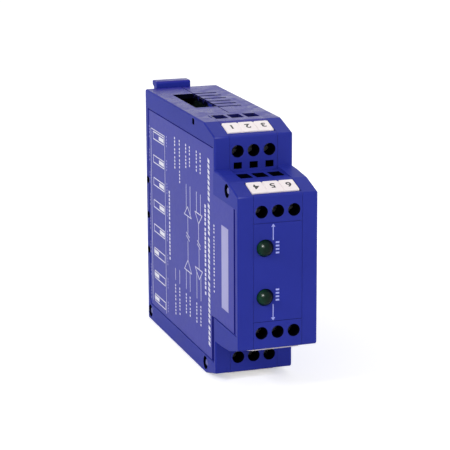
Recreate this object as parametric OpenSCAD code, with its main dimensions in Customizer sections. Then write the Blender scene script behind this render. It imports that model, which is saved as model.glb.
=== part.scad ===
// Isolated repeater in a slim housing that clips on a 35 mm top-hat rail.
// Origin: middle of the rail seat. X is the width, -Y points at the viewer, Z is up.
// The module hangs as shown from its latch side: latch on top, fixed claw below.

/* [Housing] */
// Width across the two side faces
body_w = 25; // [24.5:0.5:32]
// Height from the bottom face to the top face
body_h = 79.9; // [78:0.1:90]
// Height of the rail's middle above the housing's middle
rail_lift = 1.65; // [0:0.05:3]
// Wall thickness of the two shells
wall = 1.6; // [1.4:0.1:1.8]
// Depth of the flat top and bottom faces, from the rail
top_depth = 64.1; // [62:0.1:70]
// Depth of the slope above the rear terminals
slope_run = 10.3; // [9.5:0.1:11]
// Fall of the slope above the rear terminals
slope_fall = 2.8; // [2.4:0.1:3.2]
// Half height of the front tier where it leaves the rear tier
ledge_half = 27; // [26.6:0.1:27.6]
// Fall of the ledge towards its front
ledge_fall = 1; // [0.6:0.1:1.2]
// Depth of the ledge
ledge_run = 12.6; // [12.2:0.1:13.4]
// Depth of the slope above the front terminals
front_slope_run = 8.9; // [8.5:0.1:9.8]
// Fall of the slope above the front terminals
front_slope_fall = 2.6; // [2.2:0.1:3]
// Position of the seam between the shells, from the middle
seam_x = -0.1; // [-0.6:0.1:-0.1]
// Edge break along the outer edges of the side faces
edge_break = 0.35; // [0.2:0.05:0.5]
// Radius of the housing's profile corners
corner_r = 0.6; // [0.5:0.1:1]
// Radius of the two corners at the back
back_r = 0.8; // [0.6:0.1:1.4]
// Width of the groove along the seam, on each shell
groove_w = 0.15; // [0.1:0.05:0.3]
// Depth of the groove along the seam
groove_t = 0.4; // [0.3:0.05:0.5]

/* [Terminals] */
// Distance between neighbouring terminals
pitch = 5.08; // [5:0.01:5.3]
// Terminals in one block
poles = 3; // [3:1:3]
// Depth of a rear terminal block, from its front face
rear_block_run = 23.3; // [22.4:0.1:24]
// Height of a rear terminal block
rear_block_h = 15.35; // [14.6:0.05:15.6]
// Height of a front terminal block
front_block_h = 10.9; // [10.7:0.1:11.4]
// Distance of a screw's axis below the wire entry's face
screw_below = 7.5; // [7.3:0.05:7.7]
// Diameter of a screw tunnel
tunnel_d = 3.85; // [3.7:0.05:4]
// Distance from a rear front face back to the wire entry's middle
rear_wire_back = 17.2; // [16.8:0.1:17.6]
// Distance from a front front face back to the wire entry's middle
front_wire_back = 15.8; // [15.6:0.1:16.2]
// Width of a rear wire entry
rear_entry_w = 4; // [3.6:0.05:4]
// Depth of a rear wire entry
rear_entry_l = 5.9; // [5:0.1:6.2]
// Width of a front wire entry
front_entry_w = 3.9; // [3.6:0.05:4]
// Depth of a front wire entry
front_entry_l = 5.9; // [5.2:0.1:6]
// Width of a test hole
test_w = 2.6; // [2.4:0.1:3.2]
// Height of a test hole
test_h = 2; // [1.8:0.1:2.3]
// Width of a clamp body
clamp_w = 4.2; // [4:0.05:4.25]
// Length of a clamp body, along the screw
clamp_l = 6.6; // [6.2:0.1:6.8]
// Height of a clamp body
clamp_h = 6; // [5.6:0.1:6.2]
// Diameter of a clamp screw's shank
screw_d = 2.5; // [2.3:0.05:2.6]
// Diameter of a clamp screw's head
screw_head_d = 3.6; // [3.3:0.05:3.65]
// Depth of a screw head below the front face
screw_sunk = 5.6; // [4:0.1:5.8]
// Height of a screw's head
screw_head_h = 1.5; // [1.3:0.1:1.8]
// Thickness of a solder pin
pin_t = 0.6; // [0.4:0.05:0.6]

/* [Marker strips] */
// Length of a marker strip across the housing
marker_w = 14.8; // [14:0.1:14.9]
// Distance of a marker strip's middle from the middle width
marker_x = -0.15; // [-0.2:0.05:0]
// Height of a marker strip along the slope
marker_l = 6.5; // [6.2:0.1:7.3]
// Thickness of a marker strip
marker_t = 1.1; // [1:0.05:1.3]
// Depth of the seat that a marker strip lies in
marker_seat = 0.8; // [0.6:0.05:0.85]

/* [Front panel] */
// Half height of the panel
panel_half = 15; // [14.5:0.1:15]
// Thickness of the panel
panel_t = 1.7; // [1.4:0.1:2]
// Distance of the lamps from the middle height
lamp_half = 7.5; // [7:0.1:8]
// Distance of the lamps from the middle width
lamp_x = 4; // [3.8:0.1:4.2]
// Diameter of a lamp
lamp_d = 5; // [4.8:0.1:5]

/* [Top opening and vents] */
// Width of the switch opening
opening_w = 7.2; // [6.8:0.1:7.4]
// Length of the switch opening
opening_l = 25.2; // [24.8:0.1:26]
// Distance of the opening from the back
opening_back = 14.6; // [14:0.1:15.5]
// Number of vent slits
vents = 6; // [6:1:6]
// Length of a vent slit from the seam
vent_l = 7.8; // [7:0.1:8.2]
// Width of a vent slit
vent_w = 1.3; // [1:0.1:1.5]

/* [Side label] */
// Depth of the label's recess
recess_t = 0.45; // [0.3:0.05:0.5]
// Thickness of the label
label_t = 0.25; // [0.2:0.05:0.25]
// Margin of the recess at the back
label_back = 3; // [2.8:0.1:4]
// Margin of the recess at the front edges
label_front = 1.3; // [1.2:0.1:2]
// Half height of the recess
label_half = 34; // [33.4:0.1:34.4]
// Half height of the recess on the front tier
label_front_half = 19.4; // [19:0.1:20]

/* [Rail and latch] */
// Height of the rail
rail_h = 35; // [35:0.1:35.3]
// Height of the land that bears on the rail, above the back face
land_t = 0.3; // [0.2:0.05:0.4]
// Distance of the land from the side faces
land_in = 1.5; // [1.4:0.1:2.5]
// Thickness of the rail's flange
flange_t = 1; // [0.9:0.1:1.2]
// Overlap of the claw and the latch behind the flange
hook_l = 2.1; // [1.8:0.1:2.3]
// Depth of the foot behind the rail plane
foot_t = 5.2; // [4.9:0.1:5.6]
// Width of the fixed claw
claw_w = 16; // [14:0.5:17]
// Width of the latch
latch_w = 12; // [11.6:0.1:12.2]
// Distance of the latch's middle from the middle width
latch_x = -2.4; // [-2.6:0.1:-2.3]
// Thickness of the latch's plate
latch_t = 4.1; // [3.9:0.1:4.2]
// Height of the latch's tab above the top face
tab_up = 2; // [1.8:0.1:3]
// Travel of the latch
latch_travel = 3; // [2.6:0.1:3.2]

/* [Circuit board] */
// Thickness of the board
board_t = 1.6; // [1.5:0.1:1.8]
// Gap between the board's edge and the walls
board_gap = 0.8; // [0.6:0.1:1]
// Distance of the switch blocks below the top face
switch_below = 8; // [7.5:0.1:8.5]
// Travel of a switch lever
lever_travel = 1.6; // [1.4:0.1:1.7]

/* [Hidden] */
$fn = 48;

housing_blue = [0.17, 0.19, 0.58];
block_blue = [0.16, 0.18, 0.56];
label_blue = [0.36, 0.34, 0.66];
metal = [0.75, 0.75, 0.72];
black = [0.06, 0.06, 0.07];

// Heights are counted from the housing's middle, which lies below the rail's middle.
mid_z = -rail_lift;
half_h = body_h / 2;
tier1_depth = top_depth + slope_run;
ledge_depth = tier1_depth + ledge_run;
tier2_depth = ledge_depth + front_slope_run;
ledge_h = ledge_half - ledge_fall;
ledge_level = 0.37 * ledge_run;
eps = 0.01;
cut = 1;
fit = 0.08;

// The terminal blocks and the panel fill the band between the shells' side strips.
block_w = pitch * poles;
band_half = block_w / 2 + fit;
block_back = tier1_depth - rear_block_run;
rear_wire_y = -tier1_depth + rear_wire_back;
front_wire_y = -tier2_depth + front_wire_back;
rear_block_low = half_h - rear_block_h;
front_block_low = ledge_h - front_block_h;
marker_end = 0.2;
test_up = 0.05;

// Tie studs of one shell pass through the blocks into the other shell.
stud_r = 1.4;
stud_guide_r = 1.6;
stud_hole_r = 2.1;
stud_sunk = 0.4;
back_hole_r = 1.25;
stud_back = 3.2;
stud_rear = [-top_depth - 0.1, half_h - 3.35];
stud_front = [-ledge_depth + 1, ledge_h - 2.7];
stud_corner = [-stud_back, half_h - 3.25];

// The board stands near the middle, parts to the left, and pegs of the right shell hold it.
board_x = 0.5;
board_right = board_x + board_t;
board_back = land_t + wall + board_gap;
board_top = half_h - wall - board_gap;
board_step = 1.4;
peg_r = 1.2;
peg_hole_r = 1.3;
post_r = 2.2;
post_back = [-board_back - 7.3, half_h - 9.45];
post_front = [-tier1_depth + 5.4, rear_block_low - 6.1];
posts = [post_back, [post_back.x, -post_back.y], post_front, [post_front.x, -post_front.y]];

// Latch and foot
flange_gap = 0.35;
hook_y = flange_t + flange_gap;
rail_half = rail_h / 2;
slide_gap = 0.25;
wing = 1.4;
wing_t = 1.6;
wing_y = 0.3;
land_half = rail_half - hook_l - 0.2;
guide_w = 1.8;
latch_low = rail_half + 2;
guide_top = half_h + mid_z - 4;
spring_r = 1.3;
spring_wire = 0.4;
window_w = 3.6;
window_low = rail_half + 4.5;
window_high = window_low + 13;
shelf_z = window_high - 2.6;
shelf_h = 1.8;

// Unit vector from one point to another
function unit(v) = v / norm(v);

// Points of an arc of radius r that rounds corner b between a and c
function round_corner(a, b, c, r, n = 4) =
    let (
        u = unit(a - b),
        v = unit(c - b),
        turn = acos(u * v),
        run = r / tan(turn / 2),
        centre = b + unit(u + v) * r / sin(turn / 2),
        first = b + u * run - centre,
        last = b + v * run - centre,
        a0 = atan2(first.y, first.x),
        sweep = atan2(first.x * last.y - first.y * last.x, first * last)
    )
    [for (i = [0:n]) centre + r * [cos(a0 + sweep * i / n), sin(a0 + sweep * i / n)]];

// Outline with its corners rounded by the radii given, where 0 leaves a corner sharp
function rounded(points, radii) =
    let (count = len(points))
    [for (i = [0:count - 1]) each radii[i] == 0 ? [points[i]]
        : round_corner(points[(i + count - 1) % count], points[i], points[(i + 1) % count], radii[i])];

function mirrored(points) = [for (i = [len(points) - 1:-1:0]) [points[i].x, -points[i].y]];

// The side profile is two convex outlines that overlap: the deep rear tier and the front
// tier. Each is given by its upper half, moved in by a wall.
function rear_half(inset) = [
    [-land_t - inset, half_h - inset],
    [-top_depth, half_h - inset],
    [-tier1_depth + inset, half_h - slope_fall - inset * 0.8]];

function front_half(inset) = [
    [-top_depth, ledge_half - inset],
    [-tier1_depth, ledge_half - inset],
    [-tier1_depth - ledge_level, ledge_half - 0.2 - inset],
    [-ledge_depth, ledge_h - inset],
    [-tier2_depth + inset, ledge_h - front_slope_fall - inset * 0.8]];

function both_halves(half) = concat(half, mirrored(half));
function both_radii(half) = concat(half, [for (i = [len(half) - 1:-1:0]) half[i]]);

rear_outline = rounded(both_halves(rear_half(0)), both_radii([back_r, 0, corner_r]));
front_outline = rounded(both_halves(front_half(0)), both_radii([0, 0, 0, 0, corner_r]));

// A side outline, drawn as depth and height, becomes a solid between two widths
module across(x0, x1) {
    translate([x0, 0, mid_z]) rotate([90, 0, 90]) linear_extrude(height = x1 - x0) children();
}

// A box between two corners, its heights counted from the housing's middle
module block(low, high) {
    translate([low.x, low.y, low.z + mid_z]) cube([high.x - low.x, high.y - low.y, high.z - low.z]);
}

// A round bar across the width, at a place in the side view
module bar(r, x0, x1, place) {
    translate([x0, place.x, place.y + mid_z]) rotate([0, 90, 0]) cylinder(r = r, h = x1 - x0);
}

module lower_half() {
    translate([0, 0, 2 * mid_z]) mirror([0, 0, 1]) children();
}

module whole_profile() {
    polygon(rear_outline);
    polygon(front_outline);
}

module whole_cavity() {
    polygon(both_halves(rear_half(wall)));
    polygon(both_halves(front_half(wall)));
}

// Thin ring along the whole profile's outline
module rim() {
    difference() {
        offset(delta = cut) whole_profile();
        offset(delta = -groove_t) whole_profile();
    }
}

// A convex outline as a solid, with one wedge cut along each edge of its side face
module broken_tier(outline, inner_x) {
    difference() {
        across(-body_w / 2, inner_x) polygon(outline);
        for (i = [0:len(outline) - 1]) {
            a = outline[i];
            b = outline[(i + 1) % len(outline)];
            translate([-body_w / 2, a.x, a.y + mid_z])
                rotate([atan2(b.y - a.y, b.x - a.x), 0, 0])
                    translate([0, -edge_break, 0])
                        rotate([-90, 0, 0])
                            linear_extrude(height = norm(b - a) + 2 * edge_break)
                                polygon([[-cut, cut], [edge_break + cut, cut],
                                    [-cut, -edge_break - cut]]);
        }
    }
}

// Outline of the label's recess, moved in by a margin
function label_outline(inset) =
    let (
        front = tier2_depth - label_front - inset,
        middle = tier1_depth - label_front - inset,
        high = label_half - inset,
        low = label_front_half - inset
    )
    [[-label_back - inset, high], [-middle, high], [-middle, low], [-front, low],
        [-front, -low], [-middle, -low], [-middle, -high], [-label_back - inset, -high]];

// Round hole for the other shell's stud: a guide that also clears the roof above the stud,
// and a wider mouth in the side face
module stud_hole(place) {
    bar(stud_guide_r, -body_w / 2 - cut, cut, place);
    bar(stud_hole_r, -body_w / 2 - cut, -body_w / 2 + wall * 0.65, place);
}

// Stud from this shell's wall through to the other shell's hole, with a tapered tip
module stud(place) {
    tip = 1.2;
    bar(stud_r, -body_w / 2 + wall - eps, body_w / 2 - stud_sunk - tip, place);
    translate([body_w / 2 - stud_sunk - tip, place.x, place.y + mid_z])
        rotate([0, 90, 0]) cylinder(r1 = stud_r, r2 = stud_r * 0.7, h = tip);
}

// The plain shell on the left: its walls, with the band for the blocks left open
module shell_walls(inner_x) {
    difference() {
        union() {
            broken_tier(rear_outline, inner_x);
            broken_tier(front_outline, inner_x);
        }
        across(-body_w / 2 + wall, inner_x + cut) whole_cavity();
        across(inner_x - groove_w, inner_x + cut) rim();
        block([-band_half, -tier2_depth - cut, -half_h - cut],
            [inner_x + cut, -block_back + fit, half_h + cut]);
    }
}

// Raised land on the back face, from one width to another, that bears on the rail
module rail_land(x0, x1) {
    translate([x0, -wall / 2, -land_half]) cube([x1 - x0, wall / 2, 2 * land_half]);
}

// Fixed claw below the rail, from one width to another
module claw(x0, x1) {
    low = -rail_half - 8.5;
    lip = -rail_half + hook_l;
    slot = -rail_half - 0.2;
    translate([x0, 0, 0]) rotate([90, 0, 90]) linear_extrude(height = x1 - x0)
        polygon([[-wall / 2, low], [foot_t - 2, low], [foot_t, low + 2.5], [foot_t, lip - 0.8],
            [foot_t - 0.8, lip], [hook_y + 0.6, lip], [hook_y, lip - 0.6], [hook_y, slot],
            [-wall / 2, slot]]);
}

// Guide beside the latch: a rail with a lip over the latch's wing and a stop below it
module guide(side) {
    edge = latch_x + side * (latch_w / 2 + slide_gap);
    low = latch_low - 1.2;
    base = -wall / 2;
    outer = edge + side * guide_w;
    lip = edge - side * (wing - slide_gap);
    stop = edge - side * (wing + 0.1);
    lip_y = wing_y + wing_t + slide_gap;
    translate([min(outer, edge), base, low])
        cube([guide_w, foot_t - 0.8 - base, guide_top - low]);
    translate([min(lip, edge), lip_y, low])
        cube([abs(lip - edge) + eps, foot_t - 0.8 - lip_y, guide_top - low]);
    translate([min(stop, edge), base, low])
        cube([abs(stop - edge) + eps, wing_y + wing_t - base, latch_low - 0.2 - low]);
}

// Post on the left that presses the board on to the right shell's pegs
module board_post(place) {
    difference() {
        bar(post_r, -body_w / 2 + wall - eps, board_x, place);
        bar(peg_hole_r, board_x - 2.4, board_x + cut, place);
    }
}

module left_shell() {
    color(housing_blue) {
        difference() {
            shell_walls(seam_x);
            // Label recess
            across(-body_w / 2 - cut, -body_w / 2 + recess_t) polygon(label_outline(0));
            // Switch opening
            block([seam_x - opening_w, -opening_back - opening_l, half_h - wall - cut],
                [seam_x + cut, -opening_back, half_h + cut]);
            stud_hole([stud_front.x, stud_front.y]);
            stud_hole([stud_rear.x, -stud_rear.y]);
            stud_hole([stud_corner.x, -stud_corner.y]);
            // Three blind holes along the back edge
            for (i = [-1:1])
                bar(back_hole_r, -body_w / 2 - cut, -body_w / 2 + wall * 0.8,
                    [-land_t - back_hole_r - 0.5, i * 12.2 - 3]);
            // Catch window below the top edge
            block([-body_w / 2 - cut, -top_depth + 9.5, half_h - 2.5],
                [-body_w / 2 + wall + cut, -top_depth + 11.5, half_h - 0.65]);
            // Shallow nicks beside and behind the first wire entry
            block([-band_half - 0.35, rear_wire_y - 1.2, half_h - 0.6],
                [-band_half + cut, rear_wire_y + 2.9, half_h + cut]);
            block([-6, -block_back - cut, half_h - 0.6], [-5, -block_back + 0.45, half_h + cut]);
        }
        stud([stud_rear.x, stud_rear.y]);
        stud([stud_front.x, -stud_front.y]);
        stud([stud_corner.x, stud_corner.y]);
        for (place = posts) board_post(place);
        rail_land(-body_w / 2 + land_in, seam_x - groove_w);
        claw(-claw_w / 2, seam_x);
        guide(-1);
        // Shelf that the latch's spring bears on
        translate([latch_x - 1.6, -wall / 2, shelf_z])
            cube([3.2, wall / 2 + latch_t - 0.2, shelf_h]);
    }
}

module right_shell() {
    color(housing_blue) {
        difference() {
            mirror([1, 0, 0]) shell_walls(-seam_x);
            // Vent slits from the seam
            for (i = [0:vents - 1]) {
                y = -opening_back - 0.4 - i * opening_l / (vents - 1);
                block([seam_x - cut, y - vent_w / 2, half_h - wall - cut],
                    [seam_x + vent_l, y + vent_w / 2, half_h + cut]);
            }
            mirror([1, 0, 0]) {
                stud_hole([stud_rear.x, stud_rear.y]);
                stud_hole([stud_front.x, -stud_front.y]);
                stud_hole([stud_corner.x, stud_corner.y]);
            }
        }
        mirror([1, 0, 0]) {
            stud([stud_front.x, stud_front.y]);
            stud([stud_rear.x, -stud_rear.y]);
            stud([stud_corner.x, -stud_corner.y]);
        }
        for (place = posts) {
            bar(post_r, board_right, body_w / 2 - wall + eps, place);
            bar(peg_r, board_x - 1.8, board_right + eps, place);
        }
        rail_land(seam_x + groove_w, body_w / 2 - land_in);
        claw(seam_x, claw_w / 2);
        guide(1);
    }
}

// Front panel between the front blocks, with two hooks behind each side strip
module front_panel() {
    back = -tier2_depth + panel_t;
    color(housing_blue) difference() {
        union() {
            intersection() {
                across(-block_w / 2, block_w / 2) whole_profile();
                block([-block_w / 2 - cut, -tier2_depth - cut, -panel_half],
                    [block_w / 2 + cut, back, panel_half]);
            }
            for (side = [-1, 1], h = [-1, 1])
                block([side * block_w / 2 - 1.4, back - eps, h * panel_half * 0.6 - 2],
                    [side * block_w / 2 + 1.4, back + 1, h * panel_half * 0.6 + 2]);
        }
        for (h = [-1, 1])
            translate([-lamp_x, -tier2_depth - cut, h * lamp_half + mid_z])
                rotate([-90, 0, 0]) cylinder(d = lamp_d + 0.3, h = panel_t + 2 * cut);
    }
}

// Place something on a slope, with X across, Y down the slope and Z out of it
module on_slope(y, h, run, fall) {
    translate([0, -y, h + mid_z]) rotate([atan2(fall, run), 0, 0]) mirror([0, 1, 0]) children();
}

// One terminal's hollows, from the front face and the wire entry's face
module terminal_hollow(front, top, low, wire_back, entry_w, entry_l) {
    wire_y = -front + wire_back;
    // Screw tunnel, with a shoulder behind the head
    translate([0, -front - cut, top - screw_below + mid_z]) rotate([-90, 0, 0]) {
        cylinder(d = tunnel_d, h = cut + screw_sunk + screw_head_h);
        cylinder(d = screw_d + 0.3, h = wire_back - clamp_l / 2 + cut);
    }
    // Wire entry
    block([-entry_w / 2, wire_y - entry_l / 2, top - screw_below],
        [entry_w / 2, wire_y + entry_l / 2, top + cut]);
    // Pocket for the clamp body and its pin, open below
    block([-clamp_w / 2 - fit, wire_y - clamp_l / 2 - fit, low - cut],
        [clamp_w / 2 + fit, wire_y + clamp_l / 2 + fit, top - screw_below + clamp_h / 2 + fit]);
}

// A terminal block: a slice of the housing's profile with its terminals' hollows
module terminal_block(front, back, top, low, wire_back, entry_w, entry_l) {
    color(block_blue) difference() {
        intersection() {
            across(-block_w / 2, block_w / 2) whole_profile();
            block([-block_w / 2 - cut, -front, low], [block_w / 2 + cut, -back, half_h + cut]);
        }
        for (i = [0:poles - 1])
            translate([(i - (poles - 1) / 2) * pitch, 0, 0])
                terminal_hollow(front, top, low, wire_back, entry_w, entry_l);
        children();
    }
}

// The seat in a slope that a marker strip lies in
module marker_hollow(y, h, run, fall) {
    length = norm([run, fall]);
    on_slope(y, h, run, fall)
        translate([-block_w / 2 - cut, (length - marker_l) / 2 - marker_end, -marker_seat])
            cube([block_w + 2 * cut, marker_l + 2 * marker_end, marker_seat + cut]);
}

module rear_block() {
    terminal_block(tier1_depth, block_back, half_h, rear_block_low, rear_wire_back,
        rear_entry_w, rear_entry_l) {
        marker_hollow(top_depth, half_h, slope_run, slope_fall);
        bar(stud_guide_r, -block_w, block_w, stud_rear);
        for (i = [0:poles - 1])
            translate([(i - (poles - 1) / 2) * pitch, 0, 0])
                block([-test_w / 2, -tier1_depth - cut, ledge_half + test_up],
                    [test_w / 2, -tier1_depth + rear_wire_back - clamp_l / 2,
                        ledge_half + test_up + test_h]);
    }
}

// The front block's ledge is level with the front end of the shells' ledge.
module front_block() {
    terminal_block(tier2_depth, tier1_depth + fit, ledge_h, front_block_low, front_wire_back,
        front_entry_w, front_entry_l) {
        marker_hollow(ledge_depth, ledge_h, front_slope_run, front_slope_fall);
        bar(stud_guide_r, -block_w, block_w, stud_front);
        block([-block_w, -ledge_depth, ledge_h], [block_w, -tier1_depth + cut, half_h]);
    }
}

// Strip of joined marker tags, with a groove and a nick between neighbours
module marker_strip(y, h, run, fall) {
    length = norm([run, fall]);
    groove = 0.2;
    nick = 0.4;
    end_r = 0.5;
    color("white") on_slope(y, h, run, fall)
        translate([marker_x - marker_w / 2, (length - marker_l) / 2, -marker_seat])
            difference() {
                linear_extrude(height = marker_t) offset(r = end_r, $fn = 24)
                    translate([end_r, end_r]) square([marker_w - 2 * end_r, marker_l - 2 * end_r]);
                for (i = [1:poles - 1])
                    translate([marker_w / 2 - marker_x + (i - poles / 2) * pitch, 0, 0]) {
                        translate([-groove / 2, -cut, marker_t - groove])
                            cube([groove, marker_l + 2 * cut, cut]);
                        translate([0, 0, -cut])
                            cylinder(r = nick, h = marker_t + 2 * cut, $fn = 24);
                    }
            }
}

// Printed foil on the left face, with a gap to the recess's wall
module side_label() {
    color(label_blue)
        across(-body_w / 2 + recess_t - label_t, -body_w / 2 + recess_t) polygon(label_outline(0.15));
}

// Sliding latch: plate with wings, hook behind the flange, spring window and tab
module din_latch() {
    top = half_h + mid_z + tab_up;
    inner_w = latch_w - 2 * wing;
    hook = rail_half - hook_l;
    tab_low = guide_top + latch_travel + 0.2;
    lip_low = top - 2.1;
    color(housing_blue) difference() {
        union() {
            translate([latch_x - inner_w / 2, 0, 0]) rotate([90, 0, 90])
                linear_extrude(height = inner_w)
                    polygon([[wing_y, rail_half + 0.25], [hook_y, rail_half + 0.25],
                        [hook_y, hook + 0.8], [hook_y + 0.8, hook], [latch_t + wing_y, hook + 2.6],
                        [latch_t + wing_y, top - 1], [wing_y, top - 1]]);
            translate([latch_x - latch_w / 2, wing_y, latch_low])
                cube([latch_w, wing_t, tab_low - latch_low + eps]);
            translate([latch_x - latch_w / 2, 0, 0]) rotate([90, 0, 90])
                linear_extrude(height = latch_w)
                    polygon([[wing_y, guide_top + 0.4], [wing_y + wing_t, guide_top + 0.4],
                        [latch_t - 0.6, guide_top + 2], [latch_t - 0.6, lip_low],
                        [latch_t + 0.9, lip_low + 0.5], [latch_t + 0.9, top - 0.3],
                        [latch_t + 0.6, top], [wing_y + 0.5, top], [wing_y, top - 0.5]]);
        }
        translate([latch_x - window_w / 2, -cut, window_low])
            cube([window_w, foot_t + 2 * cut, window_high - window_low]);
    }
}

// Points of one ring of the spring's wire
function ring(turns, angle, low, high, sides) =
    let (share = angle / (360 * turns), z = low + (high - low) * share)
    [for (k = [0:sides - 1])
        let (a = 360 * k / sides, r = spring_r + spring_wire / 2 * cos(a))
        [r * cos(angle), r * sin(angle), z + spring_wire / 2 * sin(a)]];

// Compression spring between the latch's window and the shell's shelf
module latch_spring() {
    turns = 7;
    sides = 8;
    steps = 18 * turns;
    low = window_low + spring_wire / 2 + 0.02;
    high = shelf_z - spring_wire / 2 - 0.02;
    rings = [for (s = [0:steps]) ring(turns, 360 * turns * s / steps, low, high, sides)];
    points = [for (r = rings) each r];
    ends = [[for (k = [sides - 1:-1:0]) k], [for (k = [0:sides - 1]) steps * sides + k]];
    walls = [for (s = [0:steps - 1], k = [0:sides - 1])
        [s * sides + k, s * sides + (k + 1) % sides, (s + 1) * sides + (k + 1) % sides,
            (s + 1) * sides + k]];
    color(metal) translate([latch_x, wing_y + latch_t / 2, 0])
        polyhedron(points = points, faces = concat(ends, walls), convexity = 10);
}

pin_tail = 0.8;
pin_hole_r = 0.65;
pin_drop_rear = rear_block_low - 2.4;
pin_drop_front = front_block_low - 2.2;
function pole_x(i) = (i - (poles - 1) / 2) * pitch;
function pin_y(wire_y, i) = wire_y + (i - (poles - 1) / 2) * 2.2;

// Upper half of the board's outline
board_half = [
    [-board_back, board_top - 5],
    [-board_back - 5, board_top],
    [-block_back + board_step, board_top],
    [-block_back + board_step, rear_block_low - board_step],
    [-tier1_depth + board_step, rear_block_low - board_step],
    [-tier1_depth + board_step, front_block_low - board_step],
    [-tier2_depth + panel_t + board_step, front_block_low - board_step]];

lamp_pin_y = -tier2_depth + 8.6;

module main_board() {
    color([0.05, 0.35, 0.16]) difference() {
        across(board_x, board_right) polygon(concat(board_half, mirrored(board_half)));
        for (place = posts) bar(peg_hole_r, board_x - cut, board_right + cut, place);
        for (side = [-1, 1], i = [0:poles - 1]) {
            bar(pin_hole_r, board_x - cut, board_right + cut,
                [pin_y(rear_wire_y, i), side * pin_drop_rear]);
            bar(pin_hole_r, board_x - cut, board_right + cut,
                [pin_y(front_wire_y, i), side * pin_drop_front]);
        }
        for (side = [-1, 1], leg = [-1, 1])
            bar(0.45, board_x - cut, board_right + cut,
                [lamp_pin_y, side * lamp_half + leg * 1.27]);
    }
}

// Clamp body: a metal cage with a wire hole down through it and a bore for the screw
module clamp_body(wire_y, top) {
    axis_h = top - screw_below;
    side = 0.7;
    difference() {
        block([-clamp_w / 2, wire_y - clamp_l / 2, axis_h - clamp_h / 2],
            [clamp_w / 2, wire_y + clamp_l / 2, axis_h + clamp_h / 2]);
        block([-clamp_w / 2 + side, wire_y - clamp_l / 2 + 1.3, axis_h - clamp_h / 2 + side],
            [clamp_w / 2 - side, wire_y + clamp_l / 2 - side, axis_h + clamp_h]);
        translate([0, wire_y - clamp_l / 2 - cut, axis_h + mid_z])
            rotate([-90, 0, 0]) cylinder(d = screw_d + 0.1, h = 1.3 + 2 * cut);
    }
}

// Screw with a slotted head in the tunnel and its tip in the clamp body
module clamp_screw(front, wire_y, top) {
    tip_y = wire_y - clamp_l / 2 + 2.2;
    start = -front + screw_sunk;
    translate([0, start, top - screw_below + mid_z]) rotate([-90, 0, 0]) difference() {
        union() {
            cylinder(d = screw_head_d, h = screw_head_h);
            cylinder(d = screw_d, h = tip_y - start);
        }
        translate([-screw_head_d, -0.3, -cut]) cube([2 * screw_head_d, 0.6, cut + 0.7]);
        translate([-0.3, -screw_head_d * 0.3, -cut]) cube([0.6, screw_head_d * 0.6, cut + 0.7]);
    }
}

// Pin from a clamp body down out of its block, then sideways through the board
module solder_pin(i, wire_y, top, drop) {
    x = pole_x(i);
    y = pin_y(wire_y, i);
    tail = x > board_x ? board_x - pin_tail : board_right + pin_tail;
    high = top - screw_below - clamp_h / 2;
    block([x - pin_t / 2, y - pin_t / 2, drop - pin_t / 2], [x + pin_t / 2, y + pin_t / 2, high]);
    block([min(x, tail), y - pin_t / 2, drop - pin_t / 2],
        [max(x, tail), y + pin_t / 2, drop + pin_t / 2]);
}

module upper_and_lower() {
    children();
    lower_half() children();
}

module clamp_bodies() {
    color(metal) upper_and_lower() for (i = [0:poles - 1]) translate([pole_x(i), 0, 0]) {
        clamp_body(rear_wire_y, half_h);
        clamp_body(front_wire_y, ledge_h);
    }
}

module clamp_screws() {
    color(metal) upper_and_lower() for (i = [0:poles - 1]) translate([pole_x(i), 0, 0]) {
        clamp_screw(tier1_depth, rear_wire_y, half_h);
        clamp_screw(tier2_depth, front_wire_y, ledge_h);
    }
}

module solder_pins() {
    color(metal) upper_and_lower() for (i = [0:poles - 1]) {
        solder_pin(i, rear_wire_y, half_h, pin_drop_rear);
        solder_pin(i, front_wire_y, ledge_h, pin_drop_front);
    }
}

// Lamp: a round body with a domed end through the panel and a collar behind it
module status_lamp(side) {
    r = lamp_d / 2;
    collar_back = -tier2_depth + 7;
    collar_t = 1;
    dome_y = -tier2_depth + 0.35;
    color([0.05, 0.2, 0.1]) translate([-lamp_x, 0, side * lamp_half + mid_z])
        rotate([90, 0, 0]) rotate_extrude()
            polygon(concat([[0, -collar_back], [r + 0.4, -collar_back],
                [r + 0.4, -collar_back + collar_t], [r, -collar_back + collar_t]],
                [for (a = [0:7.5:90]) [r * cos(a), -dome_y + r * sin(a)]]));
}

// Two bent legs for each lamp, into the board
module lamp_leads() {
    leg = 0.5;
    color(metal) for (side = [-1, 1], i = [-1, 1]) {
        h = side * lamp_half + i * 1.27;
        block([-lamp_x - leg / 2, -tier2_depth + 7, h - leg / 2],
            [-lamp_x + leg / 2, lamp_pin_y + leg / 2, h + leg / 2]);
        block([-lamp_x - leg / 2, lamp_pin_y - leg / 2, h - leg / 2],
            [board_right + 0.8, lamp_pin_y + leg / 2, h + leg / 2]);
    }
}

// Slide switch blocks below the opening, four levers in each
switch_pitch = 2.54;
switch_l = 11.6;
switch_w = 6.6;
switch_h = 8;
switch_top = half_h - switch_below;
switch_mid = -opening_back - opening_l / 2;
switch_gap = 0.8;
switch_low = switch_top - switch_h;
slot_l = 3.4;
slot_w = 1.3;
slot_deep = 1.4;
lever_w = 1.1;
lever_h = 2.1;
lever_l = slot_l - lever_travel - 0.2;
slot_x = board_x - switch_w / 2;
function switch_y(n) = switch_mid + (n > 4 ? -1 : 1) * (switch_l + switch_gap) / 2;
function lever_y(n) = switch_y(n) - ((n - 1) % 4 - 1.5) * switch_pitch;

module switch_block(n) {
    y = switch_y(n);
    color([0.1, 0.1, 0.3]) difference() {
        block([board_x - switch_w, y - switch_l / 2, switch_low],
            [board_x, y + switch_l / 2, switch_top]);
        for (k = [0:3])
            block([slot_x - slot_l / 2, lever_y(n + k) - slot_w / 2, switch_top - slot_deep],
                [slot_x + slot_l / 2, lever_y(n + k) + slot_w / 2, switch_top + cut]);
    }
}

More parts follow.
